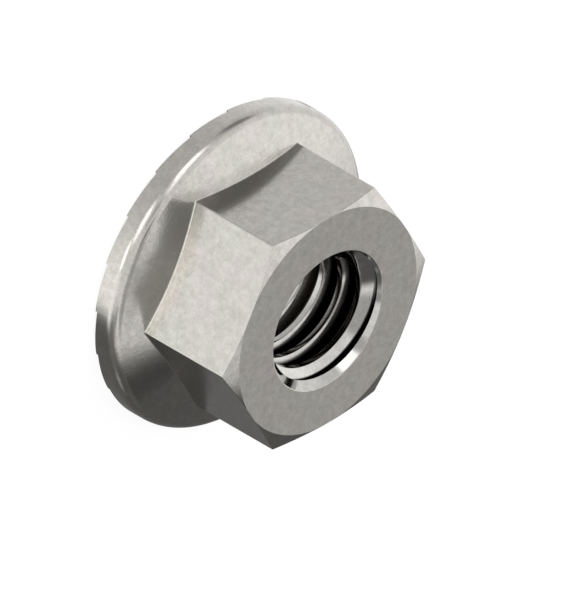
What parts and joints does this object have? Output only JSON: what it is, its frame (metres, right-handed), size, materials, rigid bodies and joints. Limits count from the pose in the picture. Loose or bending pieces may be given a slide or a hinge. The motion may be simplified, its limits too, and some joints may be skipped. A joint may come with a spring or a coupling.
{
  "type": "flange nut",
  "caption": "Hexagon nut with a built-in round flange, a threaded hole with countersinks and a ring of ratchet locking teeth under the flange.",
  "frame": {"origin": "on the axis of the thread, in the plane of the locking teeth's tips, which is the base of the nut", "axes": "+Z is the axis of the thread, from the flange to the hexagon's free end; +X is normal to one flat of the hexagon"},
  "size_m": [0.0138, 0.0138, 0.006],
  "materials": {
    "stainless_steel": "cold formed and tumbled stainless steel, satin with a fine matt grain"
  },
  "bodies": {
    "root": {"flange_nut": "stainless_steel"}
  },
  "joints": []
}
